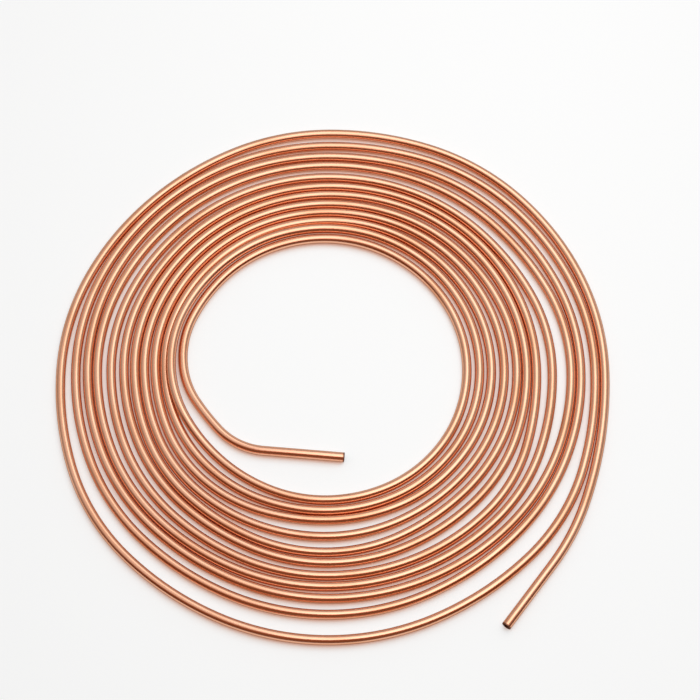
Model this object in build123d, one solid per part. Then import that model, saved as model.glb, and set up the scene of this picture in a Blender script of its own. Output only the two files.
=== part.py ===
from build123d import *
import math
import os

# A flat, loosely wound coil of one round copper tube, lying on a floor at z = 0.
# Lengths are in millimetres. Angles are in degrees, anticlockwise from +X, seen from above.

# The tube stock
tube_od = 4.76
tube_wall = 0.71
tube_length = 7620.0
rim_chamfer = 0.2

# The eye is the innermost turn, given at every eighth of a turn from its last place on the floor
# round to the start of the second turn, by how far it stands out from the eye's radius.
eye_radius = 69.35
first_clock = 180.0
steps_per_turn = 8
eye_bulges = [3.0, 4.5, 3.5, 1.0, 0.0, 0.0, 0.0, 2.0, 9.0]
eye_exit_slope = 9.0

# Clear space between each turn and the turn inside it, one row a turn from the eye outwards.
# Columns are the clock angles 135, 90, 45, 0, 315, 270, 225 and 180. Where the space is under
# zero, the turn is pushed in and the turn inside it rides up on its shoulder. A longer tube goes
# on as the table ends.
running_clearance = 0.12
turn_gaps = [
    [0.0, 0.5, 1.5, 1.5, 1.0, 0.5, 2.0, -1.5],
    [-0.5, -0.1, 0.5, 1.0, 0.5, 0.0, 1.5, 0.0],
    [0.0, 0.0, 1.0, 1.5, 1.5, 3.5, 1.0, 0.5],
    [0.0, 0.0, 0.5, 1.5, 1.5, 3.0, 0.5, 0.0],
    [0.0, 0.5, 1.0, 0.0, 2.0, 0.5, 0.0, 0.5],
    [0.0, 0.0, 0.0, 0.0, 3.0, 1.5, 2.0, 1.5],
    [1.0, 0.5, 0.0, 3.0, 1.0, 0.5, 1.5, 2.0],
    [2.0, 2.0, 3.0, 4.5, 1.6, 1.0, 0.0, 0.0],
    [1.0, 0.5, 2.0, 0.0, 0.5, 3.0, 2.5, 1.0],
    [0.5, 1.5, 2.5, 2.2, 7.3, 7.5, 6.5, 2.5],
    [0.0, 2.5, 1.5, 0.0],
]

# The inner end is bent off the eye into a straight lead that points across the eye.
lead_length = 40.0
lead_inset = 15.4
lead_foot_angle = 234.0
lead_direction = -5.0
lead_bend_radius = 34.0
lead_bend_angle = 43.0

# The outer end springs off the winding in a wider bend, then bends in again and runs out straight.
spring_length = 64.0
spring_radius = 210.0
tail_bend_length = 35.0
tail_bend_radius = 120.0
tail_length = 38.0

tube_radius = tube_od / 2
bore_radius = tube_radius - tube_wall
touching_pitch = tube_od + running_clearance
step_angle = 360.0 / steps_per_turn


def polar(radius, angle, height=0.0):
    """The point at a radius and clock angle, at a height."""
    turn = math.radians(angle)
    return Vector(radius * math.cos(turn), radius * math.sin(turn), height)


def even_slope(before, here, after):
    """A slope that never carries a curve past its given values."""
    rise = here - before
    next_rise = after - here
    if rise * next_rise <= 0:
        return 0.0
    return 2 * rise * next_rise / (rise + next_rise)


def gap_at(place):
    """Clear space between a place on the winding and the turn inside it."""
    spaces = [space for row in turn_gaps for space in row]
    index = place - len(eye_bulges)
    return spaces[min(index, len(spaces) - 1)]


def winding_places(count):
    """Points and headings along the winding, from the end of the eye outwards."""
    radii = [eye_radius + bulge for bulge in eye_bulges]
    lifts = [0.0] * (count + 2)
    first = len(radii)
    for place in range(first, count + 2):
        pitch = touching_pitch + gap_at(place)
        radii.append(radii[place - steps_per_turn] + pitch)
        if pitch < touching_pitch:
            lifts[place - steps_per_turn] = math.sqrt(touching_pitch**2 - pitch**2)
    slopes = [eye_exit_slope]
    for place in range(1, first):
        slopes.append((radii[place + 1] - radii[place - 1]) / 2)
    opening = [radii[first - 1] - radii[0] - touching_pitch]
    opening += [gap_at(place) for place in range(first, count + 2)]
    for place in range(first, count + 1):
        here = place - first + 1
        spread = even_slope(opening[here - 1], opening[here], opening[here + 1])
        slopes.append(slopes[place - steps_per_turn] + spread)
    places = []
    step = math.radians(step_angle)
    for place in range(count + 1):
        clock = first_clock - place * step_angle
        point = polar(radii[place], clock, tube_radius + lifts[place])
        climb = even_slope(lifts[max(place - 1, 0)], lifts[place], lifts[place + 1])
        outward = polar(slopes[place] / step, clock)
        forward = polar(radii[place], clock - 90)
        places.append((point, (outward + forward + Vector(0, 0, climb / step)).normalized()))
    return places


def two_arcs(start, heading, end, end_heading):
    """Two arcs that leave one point and meet the next along their headings."""
    span = end - start
    both = heading + end_heading
    turn = 2 * (1 - heading.dot(end_heading))
    along = span.dot(both)
    reach = (math.sqrt(along**2 + turn * span.dot(span)) - along) / turn
    corner = start + heading * reach
    next_corner = end - end_heading * reach
    middle = (corner + next_corner) * 0.5
    middle_heading = (next_corner - corner).normalized()
    return [TangentArc(start, middle, tangent=heading), TangentArc(middle, end, tangent=middle_heading)]


def lead_pieces(end, end_heading):
    """The straight lead, its bend and the arcs that join it to the winding."""
    foot = polar(eye_radius - lead_inset, lead_foot_angle, tube_radius)
    tip = foot + polar(lead_length, lead_direction)
    straight = Line(tip, foot)
    heading = polar(1, lead_direction + 180)
    bend_centre = foot + polar(lead_bend_radius, lead_direction + 90)
    bend_end = bend_centre + polar(lead_bend_radius, lead_direction - 90 - lead_bend_angle)
    bend = TangentArc(foot, bend_end, tangent=heading)
    return [straight, bend] + two_arcs(bend_end, bend % 1, end, end_heading)


def tail_pieces(start, heading):
    """The outer end's two bends and its straight run."""
    spring_turn = math.degrees(spring_length / spring_radius)
    spring = JernArc(start, heading, spring_radius, -spring_turn)
    bend_turn = math.degrees(tail_bend_length / tail_bend_radius)
    bend = JernArc(spring @ 1, spring % 1, tail_bend_radius, -bend_turn)
    end = bend @ 1
    return [spring, bend, Line(end, end + (bend % 1) * tail_length)]


def tube_path():
    """The tube's centre line, wound outwards until only the outer end is left."""
    shortest_turn = 2 * math.pi * eye_radius
    count = math.ceil(tube_length / shortest_turn) * steps_per_turn
    places = winding_places(count)
    pieces = lead_pieces(*places[0])
    for (point, heading), (next_point, next_heading) in zip(places, places[1:]):
        pieces += two_arcs(point, heading, next_point, next_heading)
    left = tube_length - spring_length - tail_bend_length - tail_length
    wound = []
    for piece in pieces:
        if piece.length >= left:
            break
        wound.append(piece)
        left -= piece.length
    last = piece.trim(0, left / piece.length)
    return Wire(wound + [last] + tail_pieces(last @ 1, last % 1))


def hollow_tube(path):
    """The tube swept along its centre line, its cut ends slightly rounded off outside."""
    section = Plane(path @ 0, z_dir=path % 0) * (Circle(tube_radius) - Circle(bore_radius))
    tube = sweep(section, path)
    ends = (path @ 0, path @ 1)
    rims = []
    for edge in tube.edges().filter_by(GeomType.CIRCLE):
        off_end = min((edge.arc_center - end).length for end in ends)
        if off_end < tube_wall and edge.radius > tube_radius - tube_wall / 2:
            rims.append(edge)
    return chamfer(rims, rim_chamfer)


centre_line = tube_path()
wound_tube = hollow_tube(centre_line)
box = wound_tube.bounding_box()
stand = Vector(-box.center().X, -box.center().Y, -box.min.Z)
copper_tube = wound_tube.moved(Location(stand))
copper_tube.label = "copper_tube"

os.makedirs("parts", exist_ok=True)
export_step(copper_tube, "parts/copper_tube.step")

straight_volume = math.pi * (tube_radius**2 - bore_radius**2) * centre_line.length
print("length", round(centre_line.length, 2), "size", box.size)
print("volume", round(copper_tube.volume, 1), "and as straight tube", round(straight_volume, 1))
print("winding centre", stand)
for name, place in (("inner end", 0), ("outer end", 1)):
    print(name, centre_line @ place + stand, "heading", centre_line % place)
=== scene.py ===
import math

import bpy
import numpy as np
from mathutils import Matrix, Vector


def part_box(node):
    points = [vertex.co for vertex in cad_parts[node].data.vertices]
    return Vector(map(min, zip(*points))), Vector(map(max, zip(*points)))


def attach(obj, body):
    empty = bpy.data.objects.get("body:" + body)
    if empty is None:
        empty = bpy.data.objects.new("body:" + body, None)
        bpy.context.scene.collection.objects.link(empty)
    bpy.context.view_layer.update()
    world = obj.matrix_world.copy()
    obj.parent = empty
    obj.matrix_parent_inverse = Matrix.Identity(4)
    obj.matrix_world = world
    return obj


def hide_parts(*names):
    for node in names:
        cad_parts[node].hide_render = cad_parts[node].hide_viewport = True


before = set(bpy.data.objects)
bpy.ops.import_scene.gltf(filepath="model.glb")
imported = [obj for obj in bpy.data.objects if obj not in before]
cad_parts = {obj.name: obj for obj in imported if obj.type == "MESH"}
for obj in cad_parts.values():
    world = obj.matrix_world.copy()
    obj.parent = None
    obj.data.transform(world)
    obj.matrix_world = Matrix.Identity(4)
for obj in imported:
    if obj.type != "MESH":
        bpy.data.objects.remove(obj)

scene = bpy.context.scene
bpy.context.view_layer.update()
mm = 0.001


class Value:
    # wraps one socket; an expression on values adds its Math nodes

    def __init__(self, nodes, socket):
        self.nodes = nodes
        self.socket = socket

    def math(self, operation, other=0.0):
        return self.nodes.add("ShaderNodeMath", {"operation": operation}, {0: self, 1: other})

    def __add__(self, other):
        return self.math("ADD", other)

    def __mul__(self, other):
        return self.math("MULTIPLY", other)

    def __sub__(self, other):
        return self.math("SUBTRACT", other)

    def __rsub__(self, other):
        return self * -1.0 + other

    __radd__ = __add__
    __rmul__ = __mul__

    def step(self, low, high):
        # 0 up to low, 1 from high on, smooth between
        return self.nodes.add("ShaderNodeMapRange", {"interpolation_type": "SMOOTHSTEP"},
                              {"Value": self, "From Min": low, "From Max": high})

    def also(self, output):
        # another output of the same node
        return Value(self.nodes, self.socket.node.outputs[output])

    def parts(self):
        # the x, y and z of a vector
        x = self.nodes.add("ShaderNodeSeparateXYZ", None, {"Vector": self})
        return x, x.also("Y"), x.also("Z")


class Nodes:
    # the nodes of one material or world

    def __init__(self, owner, outputKind):
        owner.use_nodes = True
        self.owner = owner
        self.tree = owner.node_tree
        self.tree.nodes.clear()
        self.end = self.tree.nodes.new(outputKind)

    def add(self, kind, settings=None, sockets=None, output=0):
        # settings go on first, then each socket gets its number, colour or link
        node = self.tree.nodes.new(kind)
        for key, setting in (settings or {}).items():
            setattr(node, key, setting)
        for key, given in (sockets or {}).items():
            if isinstance(given, Value):
                self.tree.links.new(given.socket, node.inputs[key])
            else:
                node.inputs[key].default_value = given
        return Value(self, node.outputs[output])

    def mix(self, part, first, second):
        # the first colour where part is 0, the second where it is 1; in a colour Mix they are
        # inputs 6 and 7, and the result is output 2
        return self.add("ShaderNodeMix", {"data_type": "RGBA"},
                        {"Factor": part, 6: first, 7: second}, output=2)

    def show(self, shader):
        self.tree.links.new(shader.socket, self.end.inputs["Surface"])
        return self.owner


def newMaterial(name):
    return Nodes(bpy.data.materials.new(name), "ShaderNodeOutputMaterial")


# Lengths are in millimetres here and become metres in the mesh. Clock angles are in degrees,
# anticlockwise from +X, and the tube winds clockwise from the eye outwards.
winding = {
    "eyeRadius": 69.35,
    "firstClock": 180.0,  # where the eye begins
    "stepsPerTurn": 8,
    "eyeBulges": [3.0, 4.5, 3.5, 1.0, 0.0, 0.0, 0.0, 2.0, 9.0],  # how far the eye stands out
    "eyeExitSlope": 9.0,  # how far a step it still moves outwards at the first of these places
    "clearance": 0.12,  # between turns that touch
    "gaps": [  # clear space to the turn inside, a row a turn, at 135, 90, 45, 0, 315, 270, 225, 180
        [0.0, 0.5, 1.5, 1.5, 1.0, 0.5, 2.0, -1.5],
        [-0.5, -0.1, 0.5, 1.0, 0.5, 0.0, 1.5, 0.0],
        [0.0, 0.0, 1.0, 1.5, 1.5, 3.5, 1.0, 0.5],
        [0.0, 0.0, 0.5, 1.5, 1.5, 3.0, 0.5, 0.0],
        [0.0, 0.5, 1.0, 0.0, 2.0, 0.5, 0.0, 0.5],
        [0.0, 0.0, 0.0, 0.0, 3.0, 1.5, 2.0, 1.5],
        [1.0, 0.5, 0.0, 3.0, 1.0, 0.5, 1.5, 2.0],
        [2.0, 2.0, 3.0, 4.5, 1.6, 1.0, 0.0, 0.0],
        [1.0, 0.5, 2.0, 0.0, 0.5, 3.0, 2.5, 1.0],
        [0.5, 1.5, 2.5, 2.2, 7.3, 7.5, 6.5, 2.5],
        [0.0, 2.5, 1.5, 0.0, 0.0, 0.0, 0.0, 0.0],
    ],
    "leadLength": 40.0,  # the straight inner end, which points across the eye
    "leadInset": 15.4,
    "leadFootAngle": 234.0,
    "leadDirection": -5.0,
    "leadBendRadius": 34.0,
    "leadBendAngle": 43.0,
    "springLength": 64.0,  # the outer end springs off in a wide bend
    "springRadius": 210.0,
    "tailBendLength": 35.0,  # bends in again
    "tailBendRadius": 120.0,
    "tailLength": 38.0,  # and runs out straight
}

tube = {
    "outside": 4.76,
    "wall": 0.71,
    "length": 7620.0,
    "rim": 0.2,  # how far the cut ends are rounded off outside
    "rimSteps": 4,
    "boreRim": 0.05,  # and at the bore
    "boreFlat": 0.12,  # where the flat of the cut ends, outside the bore
    "collar": 0.8,  # how far the rings at a cut end reach back along the tube
    "sides": 24,
    "mostTurn": 1.9,  # degrees that the tube may turn between two rings
    "mostStep": 6.0,  # and how far apart they may be
}

upright = [0.0, 0.0, 1.0]
lengthAt, bendAt = 9, 10  # the columns of a run: start, heading, side, then these two


def polar(radius, clock, height=0.0):
    # radius times the cosine and the sine of the clock angle, and a height
    turn = np.radians(clock)
    across, up, height = np.broadcast_arrays(radius * np.cos(turn), radius * np.sin(turn), height)
    return np.stack([across, up, height], axis=-1)


def unit(v):
    # each row over its own length
    return v / np.linalg.norm(v, axis=-1, keepdims=True)


def evenSlopes(v):
    # twice the product of the rise before and the rise after over their sum, or 0 where they
    # differ in sign, so that a curve never passes its given values
    rise, nextRise = v[1:-1] - v[:-2], v[2:] - v[1:-1]
    same = rise * nextRise > 0
    return np.where(same, 2 * rise * nextRise / np.where(same, rise + nextRise, 1.0), 0.0)


def windingPlaces(w):
    # radius = the radius a turn before + touching pitch + gap, summed down each clock angle;
    # height = the rise at which two touching circles fit in a pitch below the touching one
    perTurn = w["stepsPerTurn"]
    touching = tube["outside"] + w["clearance"]
    eye = w["eyeRadius"] + np.array(w["eyeBulges"])
    gaps = np.array(w["gaps"])
    turns = eye[1:] + np.cumsum(gaps + touching, axis=0)
    radii = np.concatenate([eye, turns.ravel()])
    pushed = np.minimum(gaps.ravel() + touching, touching)
    lifts = np.concatenate([[0.0], np.sqrt(touching ** 2 - pushed ** 2), np.zeros(perTurn)])
    spaces = np.concatenate([[eye[-1] - eye[0] - touching], gaps.ravel(), [0.0]])
    eyeSlopes = (radii[2:perTurn + 2] - radii[:perTurn]) / 2
    turnSlopes = eyeSlopes + np.cumsum(evenSlopes(spaces).reshape(-1, perTurn), axis=0)
    slopes = np.concatenate([[w["eyeExitSlope"]], eyeSlopes, turnSlopes.ravel()])
    climbs = evenSlopes(np.concatenate([[0.0], lifts, [0.0]]))
    clocks = w["firstClock"] - np.arange(len(radii)) * 360.0 / perTurn
    step = math.radians(360.0 / perTurn)
    points = polar(radii, clocks, tube["outside"] / 2 + lifts)
    headings = unit(polar(slopes / step, clocks) + polar(radii, clocks - 90.0, climbs / step))
    return points, headings


def arcPairs(starts, headings, ends, endHeadings):
    # two arcs from each point to the next: both reach the same distance d along their headings,
    # where d solves span.span = 2 d span.(h1 + h2) + 2 d^2 (1 - h1.h2), and meet halfway
    span = ends - starts
    along = np.sum(span * (headings + endHeadings), axis=1)
    turn = 2 * (1 - np.sum(headings * endHeadings, axis=1))
    reach = (np.sqrt(along ** 2 + turn * np.sum(span * span, axis=1)) - along) / turn
    corner = starts + headings * reach[:, None]
    nextCorner = ends - endHeadings * reach[:, None]
    middles = (corner + nextCorner) / 2
    middleHeadings = unit(nextCorner - corner)
    first = np.stack([starts, middles], axis=1).reshape(-1, 3)
    heads = np.stack([headings, middleHeadings], axis=1).reshape(-1, 3)
    last = np.stack([middles, ends], axis=1).reshape(-1, 3)
    return arcRuns(first, heads, last)


def arcRuns(starts, headings, ends):
    # an arc that leaves start along heading and reaches end: half its turn is the angle between
    # heading and chord, radius = chord / (2 sin(half turn)), length = radius * turn
    chord = ends - starts
    size = np.linalg.norm(chord, axis=1)
    ahead = np.sum(chord * headings, axis=1)
    aside = chord - ahead[:, None] * headings
    half = np.arctan2(np.linalg.norm(aside, axis=1), ahead)
    radius = size / (2 * np.sin(half))
    return np.column_stack([starts, headings, unit(aside), 2 * half * radius, 1 / radius])


def run(start, heading, side, length, bend):
    # one run as a row: start, heading, the side it bends to, length and 1 / radius
    return np.concatenate([start, heading, side, [length, bend]])[None, :]


def follow(runs, along):
    # point = start + sin(k x) / k * heading + (1 - cos(k x)) / k * side, x along the run and k its
    # bend, written with sinc so that it holds for a straight run
    reached = np.cumsum(runs[:, lengthAt])
    i = np.minimum(np.searchsorted(reached, along), len(runs) - 1)
    x = along - (reached[i] - runs[i, lengthAt])
    k = runs[i, bendAt]
    ahead = x * np.sinc(k * x / np.pi)
    aside = x * (k * x / 2) * np.sinc(k * x / (2 * np.pi)) ** 2
    start, heading, side = runs[i, 0:3], runs[i, 3:6], runs[i, 6:9]
    point = start + ahead[:, None] * heading + aside[:, None] * side
    turn = (k * x)[:, None]
    return point, np.cos(turn) * heading + np.sin(turn) * side


def runOn(runs, length, bend):
    # a run that goes on from the end of the given ones and bends to the right
    point, heading = follow(runs, np.array([np.sum(runs[:, lengthAt])]))
    return run(point[0], heading[0], np.cross(heading[0], upright), length, bend)


def tubeRuns(w):
    # straight lead, its bend, the arcs of the winding up to the length that is left, then the
    # two bends of the outer end and its straight run
    points, headings = windingPlaces(w)
    foot = polar(w["eyeRadius"] - w["leadInset"], w["leadFootAngle"], tube["outside"] / 2)
    tip = foot + polar(w["leadLength"], w["leadDirection"])
    back = w["leadDirection"] + 180.0
    bent = back - w["leadBendAngle"]
    aside = polar(1.0, w["leadDirection"] + 90.0)
    bendEnd = foot + w["leadBendRadius"] * (aside + polar(1.0, bent + 90.0))
    bendLength = math.radians(w["leadBendAngle"]) * w["leadBendRadius"]
    lead = run(tip, polar(1.0, back), aside, w["leadLength"], 0.0)
    bend = run(foot, polar(1.0, back), aside, bendLength, 1 / w["leadBendRadius"])
    starts = np.vstack([bendEnd, points[:-1]])
    heads = np.vstack([polar(1.0, bent), headings[:-1]])
    wound = np.vstack([lead, bend, arcPairs(starts, heads, points, headings)])
    left = tube["length"] - w["springLength"] - w["tailBendLength"] - w["tailLength"]
    reached = np.cumsum(wound[:, lengthAt])
    last = int(np.searchsorted(reached, left))
    wound = wound[:last + 1]
    wound[last, lengthAt] -= reached[last] - left
    spring = runOn(wound, w["springLength"], 1 / w["springRadius"])
    tailBend = runOn(spring, w["tailBendLength"], 1 / w["tailBendRadius"])
    tail = runOn(tailBend, w["tailLength"], 0.0)
    return np.vstack([wound, spring, tailBend, tail])


def ringPlaces(runs, t):
    # places along the tube, spaced so that it turns by mostTurn or runs by mostStep between two
    lengths, bends = runs[:, lengthAt], runs[:, bendAt]
    cost = lengths * np.maximum(bends / math.radians(t["mostTurn"]), 1 / t["mostStep"])
    costs = np.concatenate([[0.0], np.cumsum(cost)])
    reached = np.concatenate([[0.0], np.cumsum(lengths)])
    count = 2 * math.ceil(costs[-1] / 2)
    return np.interp(np.linspace(0, costs[-1], count + 1), costs, reached)


def endProfile(t):
    # a cut end from the outside round to the bore, as distance from the end and radius: a quarter
    # circle of the rim's size, the flat of the cut, and the bore with its edge taken off
    outer = t["outside"] / 2
    bore = outer - t["wall"]
    turn = np.radians(np.linspace(0.0, 90.0, t["rimSteps"] + 1))
    rimBack = t["rim"] * (1 - np.sin(turn))
    rimRadius = outer - t["rim"] * (1 - np.cos(turn))
    back = np.concatenate([[t["collar"]], rimBack, [0.0, 0.0, t["boreRim"], t["collar"]]])
    cut = [bore + t["boreFlat"], bore + t["boreRim"], bore, bore]
    return back, np.concatenate([[outer], rimRadius, cut])


def closedGrid(rows, sides):
    # the quads from each row to the next, the last row and side joined to the first, in an order
    # that makes them face out of the tube's wall
    i, j = np.meshgrid(np.arange(rows), np.arange(sides), indexing="ij")
    row, nextRow, nextSide = i * sides, (i + 1) % rows * sides, (j + 1) % sides
    faces = np.stack([row + j, nextRow + j, nextRow + nextSide, row + nextSide], axis=-1)
    return faces.reshape(-1, 4)


def hollowTube(name, runs, t, box):
    # point = centre + radius * (cos(a) * sideways + sin(a) * upwards), by how far along the tube
    # the centre is; the rows go out along the outside, round one cut end, back along the bore and
    # round the other end; all is then moved over the floor until its middle is the box's middle
    total = float(np.sum(runs[:, lengthAt]))
    back, radius = endProfile(t)
    outside = ringPlaces(runs, t)[1:-1]
    bore = outside[1::2][::-1]
    along = np.concatenate([back[::-1], outside, total - back, bore])
    outsideRadii, boreRadii = np.full(len(outside), radius[0]), np.full(len(bore), radius[-1])
    radii = np.concatenate([radius[::-1], outsideRadii, radius, boreRadii])[:, None, None]
    centre, heading = follow(runs, np.clip(along, 0.0, total))
    sideways = unit(np.cross(heading, upright))
    upwards = np.cross(sideways, heading)
    a = np.linspace(0, 2 * np.pi, t["sides"], endpoint=False)[None, :, None]
    ring = np.cos(a) * sideways[:, None] + np.sin(a) * upwards[:, None]
    points = (centre[:, None] + radii * ring).reshape(-1, 3) * mm
    middle = (points.min(axis=0) + points.max(axis=0)) / 2
    points[:, :2] += (np.mean(box, axis=0) - middle)[:2]
    # where each point is on the tube: across and up in its section, and how far along
    places = np.broadcast_arrays(radii * np.cos(a), radii * np.sin(a), along[:, None, None])
    faces = closedGrid(len(along), t["sides"])
    print(name, "made with", 2 * len(faces), "triangles, length", round(total, 2), "mm")
    return newPiece(name, points, faces, np.concatenate(places, axis=-1) * mm)


def newPiece(name, points, faces, places):
    # a smooth mesh of its points and quads; the material reads the places from its attribute
    mesh = bpy.data.meshes.new(name)
    mesh.vertices.add(len(points))
    mesh.vertices.foreach_set("co", points.astype(np.float32).ravel())
    mesh.loops.add(faces.size)
    mesh.loops.foreach_set("vertex_index", faces.ravel().astype(np.int32))
    mesh.polygons.add(len(faces))
    faceStarts = np.arange(0, faces.size, faces.shape[1], dtype=np.int32)
    mesh.polygons.foreach_set("loop_start", faceStarts)
    mesh.polygons.foreach_set("use_smooth", np.ones(len(faces), dtype=bool))
    onTube = mesh.attributes.new("onTube", "FLOAT_VECTOR", "POINT")
    onTube.data.foreach_set("vector", places.astype(np.float32).ravel())
    mesh.update(calc_edges=True)
    mesh.validate()
    piece = bpy.data.objects.new(name, mesh)
    scene.collection.objects.link(piece)
    return piece


copperTube = hollowTube("copperTube", tubeRuns(winding), tube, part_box("copper_tube"))


# Lengths are in metres from here on.
copper = {
    "fresh": (0.87, 0.46, 0.3, 1.0),
    "dull": (0.79, 0.38, 0.22, 1.0),
    "clouds": 150.0,  # patches of dull to the metre across the tube
    "cloudStretch": 0.2,  # how much slower they change along it
    "cloudDetail": 4.0,
    "cloudEdge": (0.45, 0.75),  # the levels of the clouds between which fresh turns to dull
    "streaks": 900.0,  # drawn lines to the metre across the tube
    "streakStretch": 0.012,
    "streakDetail": 2.0,
    "streakStrength": 0.1,
    "streakDepth": 0.00003,
    "paintedShade": (0.16, 0.07, 0.045, 1.0),  # painted shade: darker in the bore and at the saw cut at each end
    "boreShadeRadii": (0.00205, 0.00232),  # the radii between which that ends
    "endShadeReach": (0.0003, 0.001),  # the distances from a cut end between which it ends outside
    "endShadeStrength": 0.85,
    "length": tube["length"] * mm,
    "roughness": 0.2,
    "streakRoughness": 0.1,  # how much each of these changes it
    "dullRoughness": 0.06,
    "boreAndEndRoughness": 0.3,
    "edge": (0.2, 0.2, 0.2, 1.0),  # how much it still mirrors at a grazing angle
}


def drawnNoise(n, place, scale, stretch, detail):
    # noise at scale to the metre across the tube and at stretch times that along it
    drawn = n.add("ShaderNodeMapping", None, {"Vector": place, "Scale": (1.0, 1.0, stretch)})
    return n.add("ShaderNodeTexNoise", None, {"Vector": drawn, "Scale": scale, "Detail": detail})


def drawnCopper(c):
    # colour = fresh to dull by slow clouds along the tube, with painted shade in the bore and near
    # each cut end; roughness and bump = fine streaks drawn out along it; all by how far across, up
    # and along the tube a point is
    n = newMaterial("drawnCopper")
    place = n.add("ShaderNodeAttribute", {"attribute_name": "onTube"}, output="Vector")
    streaks = drawnNoise(n, place, c["streaks"], c["streakStretch"], c["streakDetail"])
    clouds = drawnNoise(n, place, c["clouds"], c["cloudStretch"], c["cloudDetail"])
    dulled = clouds.step(*c["cloudEdge"])
    across, up, along = place.parts()
    radius = (across * across + up * up).math("SQRT")
    fromEnd = along.math("MINIMUM", c["length"] - along)
    # painted shade: darker near each cut end and in the bore, where the light does not reach
    nearEnd = (1.0 - fromEnd.step(*c["endShadeReach"])) * c["endShadeStrength"]
    paintedShade = (1.0 - radius.step(*c["boreShadeRadii"])).math("MAXIMUM", nearEnd)
    colour = n.mix(paintedShade, n.mix(dulled, c["fresh"], c["dull"]), c["paintedShade"])
    rough = (streaks - 0.5) * c["streakRoughness"] + dulled * c["dullRoughness"]
    rough = rough + paintedShade * c["boreAndEndRoughness"] + c["roughness"]
    bump = n.add("ShaderNodeBump", None, {
        "Strength": c["streakStrength"], "Distance": c["streakDepth"], "Height": streaks})
    return n.show(n.add("ShaderNodeBsdfPrincipled", None, {
        "Base Color": colour,
        "Metallic": 1.0,
        "Specular Tint": c["edge"],
        "Roughness": rough,
        "Normal": bump,
    }))


copperTube.data.materials.append(drawnCopper(copper))
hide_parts("copper_tube")
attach(copperTube, "root")
print("copper on")


floor = {
    "size": 8.0,
    "colour": (0.6, 0.6, 0.6, 1.0),
    # the white of its own, for the camera and mirror-like surfaces
    "open": (0.51, 0.545, 0.555, 1.0),
    "beside": (0.42, 0.375, 0.345, 1.0),  # painted soft shade beside one tube
    "between": (0.4, 0.19, 0.12, 1.0),  # painted copper-coloured light between turns, where the copper throws its light
    "deep": (0.1, 0.016, 0.003, 1.0),  # painted dark shade where they meet
    "betweenFrom": (0.0, 0.22),  # the shares of open sky over which each goes on to the next
    "besideFrom": (0.2, 0.42),
    "openFrom": (0.4, 0.62),
    "skySide": (0.15, 0.7, 0.7),  # the part of the sky that counts most, so that the painted shade falls on the front side of each tube
    "skyReach": 0.008,  # how near the copper has to be to close it off
    "skySamples": 8,
}


def whiteFloor(c):
    # diffuse sheet, plus white light of its own that lights nothing, with painted shade and painted
    # copper-coloured light near the turns: deep, between, beside or open by the share of the sky
    # that the turns leave open
    n = newMaterial("whiteFloor")
    camera = n.add("ShaderNodeLightPath", output="Is Camera Ray")
    seen = camera + camera.also("Is Glossy Ray") + camera.also("Is Transmission Ray")
    sheet = n.add("ShaderNodeBsdfDiffuse", None, {"Color": c["colour"]})
    x, y, z = c["skySide"]
    side = n.add("ShaderNodeCombineXYZ", None, {"X": x, "Y": y, "Z": z})
    sky = n.add("ShaderNodeAmbientOcclusion", {"samples": c["skySamples"]},
                {"Distance": c["skyReach"], "Normal": side}, output="AO")
    # painted shade and painted copper light in the floor's own white, by how much sky the turns
    # leave open
    white = n.mix(sky.step(*c["betweenFrom"]), c["deep"], c["between"])
    white = n.mix(sky.step(*c["besideFrom"]), white, c["beside"])
    white = n.mix(sky.step(*c["openFrom"]), white, c["open"])
    glow = n.add("ShaderNodeEmission", None, {"Color": white, "Strength": seen})
    return n.show(n.add("ShaderNodeAddShader", None, {0: sheet, 1: glow}))


half = floor["size"] / 2
corners = [(-half, -half, 0), (half, -half, 0), (half, half, 0), (-half, half, 0)]
floorMesh = bpy.data.meshes.new("floor")
floorMesh.from_pydata(corners, [], [(0, 1, 2, 3)])
floorPiece = bpy.data.objects.new("floor", floorMesh)
floorMesh.materials.append(whiteFloor(floor))
scene.collection.objects.link(floorPiece)
print("floor laid")


# Heights and sides of a direction go from -1 to 1.
room = {
    "colour": (1.0, 1.0, 1.0, 1.0),
    "walls": 0.38,
    "ceiling": 0.8,
    "ceilingFrom": (0.5, 0.95),  # the heights between which walls turn to ceiling
    "back": 0.15,  # how much brighter it is behind
    "backFrom": (0.1, 0.7),
    "frontColour": (1.0, 0.38, 0.15, 1.0),
    "frontShade": 0.6,  # how much darker it is on the camera's side
    "frontFrom": (0.0, 0.4),
    "farFront": 0.3,  # how much less of that there is straight ahead
    "farFrontFrom": (0.65, 0.95),
}


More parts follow.
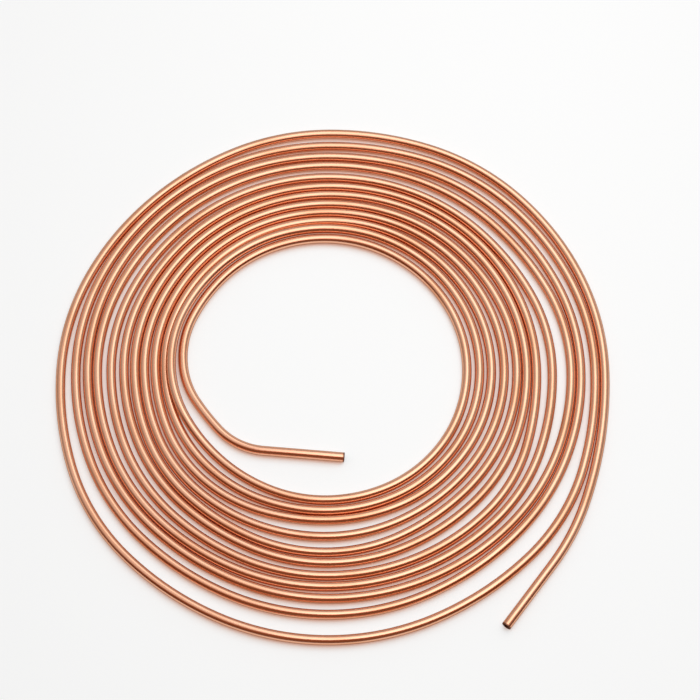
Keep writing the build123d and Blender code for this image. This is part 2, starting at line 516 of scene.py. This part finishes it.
def studio(c):
    # level = walls to ceiling by height, more behind, times 1 less the shade in front; colour =
    # white to warm by how far in front
    n = Nodes(bpy.data.worlds.new("studio"), "ShaderNodeOutputWorld")
    behind, high = n.add("ShaderNodeTexCoord", output="Generated").parts()[1:]
    ahead = behind * -1.0
    level = high.step(*c["ceilingFrom"]) * (c["ceiling"] - c["walls"])
    level = level + behind.step(*c["backFrom"]) * c["back"] + c["walls"]
    front = ahead.step(*c["frontFrom"]) - ahead.step(*c["farFrontFrom"]) * c["farFront"]
    colour = n.mix(front, c["colour"], c["frontColour"])
    strength = level * (1.0 - front * c["frontShade"])
    return n.show(n.add("ShaderNodeBackground", None, {"Color": colour, "Strength": strength}))


lamp = {
    "at": (0.16, 0.24, 0.6),  # one big soft light overhead, a little behind and to the right
    "aim": (0.05, 0.25, 0.0),
    "width": 1.0,
    "depth": 0.42,
    "spread": 120.0,  # degrees
    "power": 0.82,
}


def aimed(name, data, place, target):
    # an object at a place, its -Z axis towards the target
    piece = bpy.data.objects.new(name, data)
    piece.location = place
    piece.rotation_euler = (Vector(target) - Vector(place)).to_track_quat("-Z", "Y").to_euler()
    scene.collection.objects.link(piece)
    return piece


scene.world = studio(room)
softbox = bpy.data.lights.new("softbox", "AREA")
softbox.shape = "RECTANGLE"
softbox.size = lamp["width"]
softbox.size_y = lamp["depth"]
softbox.energy = lamp["power"]
softbox.spread = math.radians(lamp["spread"])
aimed("softbox", softbox, lamp["at"], lamp["aim"]).visible_camera = False
print("lit")


camera = {
    "target": (0.0086, 0.0137, 0.0),
    "elevation": 66.5,
    "distance": 1.0,
    "lens": 102.1,  # in millimetres, as the sensor is
    "sensor": 36.0,
    "farthest": 20.0,
}

cameraData = bpy.data.cameras.new("camera")
cameraData.lens = camera["lens"]
cameraData.sensor_width = camera["sensor"]
cameraData.clip_end = camera["farthest"]
rise = math.radians(camera["elevation"])
towardsCamera = camera["distance"] * Vector((0.0, -math.cos(rise), math.sin(rise)))
place = Vector(camera["target"]) + towardsCamera
scene.camera = aimed("camera", cameraData, place, camera["target"])
scene.view_settings.view_transform = "Standard"
print("camera set")
